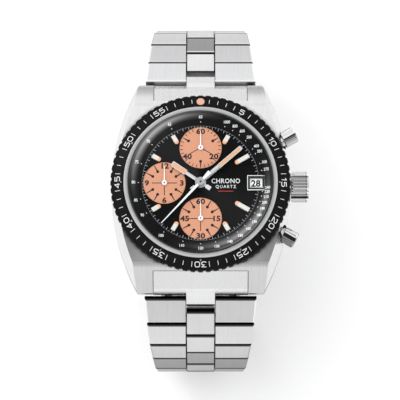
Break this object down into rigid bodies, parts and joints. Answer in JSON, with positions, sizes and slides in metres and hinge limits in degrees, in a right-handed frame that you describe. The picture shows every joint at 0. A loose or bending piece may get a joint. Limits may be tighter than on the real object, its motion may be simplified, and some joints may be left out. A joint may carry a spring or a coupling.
{
  "type": "chronograph wristwatch",
  "caption": "Steel chronograph wristwatch on a closed three-row bracelet with folding clasp, turning black bezel, salmon sub-dials, crown and two pushers.",
  "frame": {"origin": "centre of the case back's outer face", "axes": "+Z out through the dial, +Y towards 12 o'clock, +X towards 3 o'clock and the crown"},
  "size_m": [0.0418, 0.0759, 0.0529],
  "materials": {
    "battery_steel": "drawn can",
    "bezel_black": "black coated coin edge",
    "bezel_insert_black": "satin black with white scale",
    "board_green": "solder mask",
    "bracelet_steel": "lengthwise brushing",
    "case_back_steel": "circular brushing",
    "case_steel": "brushed faces, polished flanks",
    "clasp_steel": "brushed cover, plain blades",
    "coil_copper": "wound wire",
    "crystal_glass": "clear, domed",
    "date_white": "printed white",
    "dial_black": "matt black with salmon sub-dials",
    "flange_black": "satin black with white scale",
    "hand_steel": "polished with peach luminous fill",
    "hand_white": "gloss white",
    "holder_plastic": "moulded",
    "marker_white": "white batons with peach luminous tips",
    "movement_brass": "fine grained",
    "polished_steel": "polished",
    "seal_rubber": "moulded",
    "spring_steel": "stamped"
  },
  "bodies": {
    "case": {"case_middle": "case_steel", "case_back": "case_back_steel", "case_gaskets": "seal_rubber", "crystal": "crystal_glass", "crystal_ring": "polished_steel", "flange_ring": "flange_black", "dial": "dial_black", "hour_markers": "marker_white", "date_frame": "polished_steel", "main_plate": "movement_brass", "movement_holder": "holder_plastic", "circuit_board": "board_green", "battery": "battery_steel", "drive_coil": "coil_copper", "train_bridge": "movement_brass", "movement_screws": "movement_brass", "case_tubes": "polished_steel", "bezel_click_spring": "spring_steel", "pusher_springs": "spring_steel", "end_links": "case_steel"},
    "bezel": {"bezel_ring": "bezel_black", "bezel_insert": "bezel_insert_black"},
    "stem": {"setting_stem": "polished_steel"},
    "crown": {"crown": "polished_steel"},
    "start_pusher": {"start_pusher": "polished_steel"},
    "reset_pusher": {"reset_pusher": "polished_steel"},
    "start_lever": {"start_lever": "spring_steel"},
    "reset_hammer": {"reset_hammer": "spring_steel"},
    "hour_hand": {"hour_hand": "hand_steel", "hour_wheel": "movement_brass"},
    "minute_hand": {"minute_hand": "hand_steel", "cannon_pinion": "movement_brass"},
    "minute_wheel": {"minute_wheel": "movement_brass"},
    "chrono_seconds": {"chrono_seconds_hand": "hand_white"},
    "minute_counter": {"minute_counter_hand": "hand_white"},
    "hour_counter": {"hour_counter_hand": "hand_white"},
    "small_seconds": {"small_seconds_hand": "hand_white"},
    "date_disc": {"date_disc": "date_white"},
    "stepper_rotor": {"stepper_rotor": "spring_steel"},
    "link_12_1": {"link_12_1": "bracelet_steel"},
    "link_12_2": {"link_12_2": "bracelet_steel"},
    "link_12_3": {"link_12_3": "bracelet_steel"},
    "link_12_4": {"link_12_4": "bracelet_steel"},
    "link_12_5": {"link_12_5": "bracelet_steel"},
    "link_12_6": {"link_12_6": "bracelet_steel"},
    "link_12_7": {"link_12_7": "bracelet_steel"},
    "link_12_8": {"link_12_8": "bracelet_steel"},
    "link_12_9": {"link_12_9": "bracelet_steel"},
    "link_6_1": {"link_6_1": "bracelet_steel"},
    "link_6_2": {"link_6_2": "bracelet_steel"},
    "link_6_3": {"link_6_3": "bracelet_steel"},
    "link_6_4": {"link_6_4": "bracelet_steel"},
    "link_6_5": {"link_6_5": "bracelet_steel"},
    "link_6_6": {"link_6_6": "bracelet_steel"},
    "link_6_7": {"link_6_7": "bracelet_steel"},
    "link_6_8": {"link_6_8": "bracelet_steel"},
    "clasp_cover": {"clasp_cover": "clasp_steel"},
    "clasp_middle": {"clasp_middle_blade": "clasp_steel"},
    "clasp_inner": {"clasp_inner_blade": "clasp_steel"},
    "clasp_catch": {"clasp_catch": "clasp_steel"}
  },
  "joints": [
    {"name": "bezel_turn", "type": "hinge", "parent": "case", "child": "bezel", "pos_m": [0, 0, 0.0092], "axis": [0, 0, 1], "continuous": true},
    {"name": "stem_pull", "type": "slide", "parent": "case", "child": "stem", "axis": [1, 0, 0], "range_m": [0, 0.001]},
    {"name": "crown_turn", "type": "hinge", "parent": "stem", "child": "crown", "pos_m": [0.021, 0, 0.0049], "axis": [1, 0, 0], "continuous": true},
    {"name": "start_press", "type": "slide", "parent": "case", "child": "start_pusher", "axis": [-0.866, -0.5, 0], "range_m": [0, 0.0008], "stiffness_N_per_m": 60},
    {"name": "reset_press", "type": "slide", "parent": "case", "child": "reset_pusher", "axis": [-0.866, 0.5, 0], "range_m": [0, 0.0008], "stiffness_N_per_m": 60},
    {"name": "start_lever_turn", "type": "hinge", "parent": "case", "child": "start_lever", "pos_m": [0.00727, 0.00881, 0.0049], "axis": [0, 0, 1], "range_deg": [-12, 0]},
    {"name": "reset_hammer_turn", "type": "hinge", "parent": "case", "child": "reset_hammer", "pos_m": [0.00727, -0.00881, 0.0049], "axis": [0, 0, 1], "range_deg": [0, 12]},
    {"name": "minute_hand_turn", "type": "hinge", "parent": "case", "child": "minute_hand", "pos_m": [0, 0, 0.009], "axis": [0, 0, -1], "continuous": true},
    {"name": "hour_hand_turn", "type": "hinge", "parent": "case", "child": "hour_hand", "pos_m": [0, 0, 0.009], "axis": [0, 0, -1], "continuous": true},
    {"name": "minute_wheel_turn", "type": "hinge", "parent": "case", "child": "minute_wheel", "pos_m": [0.00283, -0.00283, 0.0078], "axis": [0, 0, -1], "continuous": true},
    {"name": "chrono_seconds_turn", "type": "hinge", "parent": "case", "child": "chrono_seconds", "pos_m": [0, 0, 0.009], "axis": [0, 0, -1], "continuous": true},
    {"name": "minute_counter_turn", "type": "hinge", "parent": "case", "child": "minute_counter", "pos_m": [0, 0.00762, 0.009], "axis": [0, 0, -1], "continuous": true},
    {"name": "hour_counter_turn", "type": "hinge", "parent": "case", "child": "hour_counter", "pos_m": [-0.00762, 0, 0.009], "axis": [0, 0, -1], "continuous": true},
    {"name": "small_seconds_turn", "type": "hinge", "parent": "case", "child": "small_seconds", "pos_m": [0, -0.00762, 0.009], "axis": [0, 0, -1], "continuous": true},
    {"name": "date_disc_turn", "type": "hinge", "parent": "case", "child": "date_disc", "pos_m": [0, 0, 0.0085], "axis": [0, 0, -1], "continuous": true},
    {"name": "stepper_rotor_turn", "type": "hinge", "parent": "case", "child": "stepper_rotor", "pos_m": [0.002, 0.0075, 0.0048], "axis": [0, 0, -1], "continuous": true},
    {"name": "link_12_1_hinge", "type": "hinge", "parent": "case", "child": "link_12_1", "pos_m": [0, 0.02375, 0.00175], "axis": [-1, 0, 0], "range_deg": [-32.1, 0]},
    {"name": "link_12_2_hinge", "type": "hinge", "parent": "link_12_1", "child": "link_12_2", "pos_m": [0, 0.02887, -0.00157], "axis": [-1, 0, 0], "range_deg": [-4, 0]},
    {"name": "link_12_3_hinge", "type": "hinge", "parent": "link_12_2", "child": "link_12_3", "pos_m": [0, 0.03357, -0.00543], "axis": [-1, 0, 0], "range_deg": [-15.6, 0]},
    {"name": "link_12_4_hinge", "type": "hinge", "parent": "link_12_3", "child": "link_12_4", "pos_m": [0, 0.03701, -0.01045], "axis": [-1, 0, 0], "range_deg": [-18, 0]},
    {"name": "link_12_5_hinge", "type": "hinge", "parent": "link_12_4", "child": "link_12_5", "pos_m": [0, 0.0386, -0.0163], "axis": [-1, 0, 0], "range_deg": [-24.06, 0]},
    {"name": "link_12_6_hinge", "type": "hinge", "parent": "link_12_5", "child": "link_12_6", "pos_m": [0, 0.03766, -0.0223], "axis": [-1, 0, 0], "range_deg": [-24.04, 0]},
    {"name": "link_12_7_hinge", "type": "hinge", "parent": "link_12_6", "child": "link_12_7", "pos_m": [0, 0.03467, -0.02761], "axis": [-1, 0, 0], "range_deg": [-7.4, 0]},
    {"name": "link_12_8_hinge", "type": "hinge", "parent": "link_12_7", "child": "link_12_8", "pos_m": [0, 0.03098, -0.03246], "axis": [-1, 0, 0], "range_deg": [-9.83, 0]},
    {"name": "link_12_9_hinge", "type": "hinge", "parent": "link_12_8", "child": "link_12_9", "pos_m": [0, 0.02637, -0.03642], "axis": [-1, 0, 0], "range_deg": [-20.07, 0]},
    {"name": "link_6_1_hinge", "type": "hinge", "parent": "case", "child": "link_6_1", "pos_m": [0, -0.02375, 0.00175], "axis": [1, 0, 0], "range_deg": [-37.1, 0]},
    {"name": "link_6_2_hinge", "type": "hinge", "parent": "link_6_1", "child": "link_6_2", "pos_m": [0, -0.02832, -0.00226], "axis": [1, 0, 0], "range_deg": [-19.4, 0]},
    {"name": "link_6_3_hinge", "type": "hinge", "parent": "link_6_2", "child": "link_6_3", "pos_m": [0, -0.03139, -0.00751], "axis": [1, 0, 0], "range_deg": [-15.3, 0]},
    {"name": "link_6_4_hinge", "type": "hinge", "parent": "link_6_3", "child": "link_6_4", "pos_m": [0, -0.03316, -0.01335], "axis": [1, 0, 0], "range_deg": [-5.9, 0]},
    {"name": "link_6_5_hinge", "type": "hinge", "parent": "link_6_4", "child": "link_6_5", "pos_m": [0, -0.03414, -0.01936], "axis": [1, 0, 0], "range_deg": [-14.21, 0]},
    {"name": "link_6_6_hinge", "type": "hinge", "parent": "link_6_5", "child": "link_6_6", "pos_m": [0, -0.03341, -0.02538], "axis": [1, 0, 0], "range_deg": [-23.79, 0]},
    {"name": "link_6_7_hinge", "type": "hinge", "parent": "link_6_6", "child": "link_6_7", "pos_m": [0, -0.03041, -0.03067], "axis": [1, 0, 0], "range_deg": [-17.74, 0]},
    {"name": "link_6_8_hinge", "type": "hinge", "parent": "link_6_7", "child": "link_6_8", "pos_m": [0, -0.02591, -0.03475], "axis": [1, 0, 0], "range_deg": [-20.56, 0]},
    {"name": "clasp_cover_hinge", "type": "hinge", "parent": "link_12_9", "child": "clasp_cover", "pos_m": [0, 0.02066, -0.03845], "axis": [-1, 0, 0], "range_deg": [-24, 0]},
    {"name": "clasp_middle_hinge", "type": "hinge", "parent": "clasp_cover", "child": "clasp_middle", "pos_m": [0, -0.0155, -0.03845], "axis": [-1, 0, 0], "range_deg": [-100, 0]},
    {"name": "clasp_inner_hinge", "type": "hinge", "parent": "clasp_middle", "child": "clasp_inner", "pos_m": [0, 0.014, -0.0375], "axis": [1, 0, 0], "range_deg": [-100, 0]},
    {"name": "clasp_catch_hinge", "type": "hinge", "parent": "clasp_cover", "child": "clasp_catch", "pos_m": [0, -0.0084, -0.03963], "axis": [-1, 0, 0], "range_deg": [-100, 0]}
  ],
  "couplings": [
    {"joint": "hour_hand_turn", "follows": "minute_hand_turn", "ratio": 0.083333},
    {"joint": "minute_wheel_turn", "follows": "minute_hand_turn", "ratio": -0.33333},
    {"joint": "minute_counter_turn", "follows": "chrono_seconds_turn", "ratio": 0.016667},
    {"joint": "hour_counter_turn", "follows": "chrono_seconds_turn", "ratio": 0.0013889},
    {"joint": "start_lever_turn", "follows": "start_press", "rad_per_m": -250},
    {"joint": "reset_hammer_turn", "follows": "reset_press", "rad_per_m": 250}
  ]
}
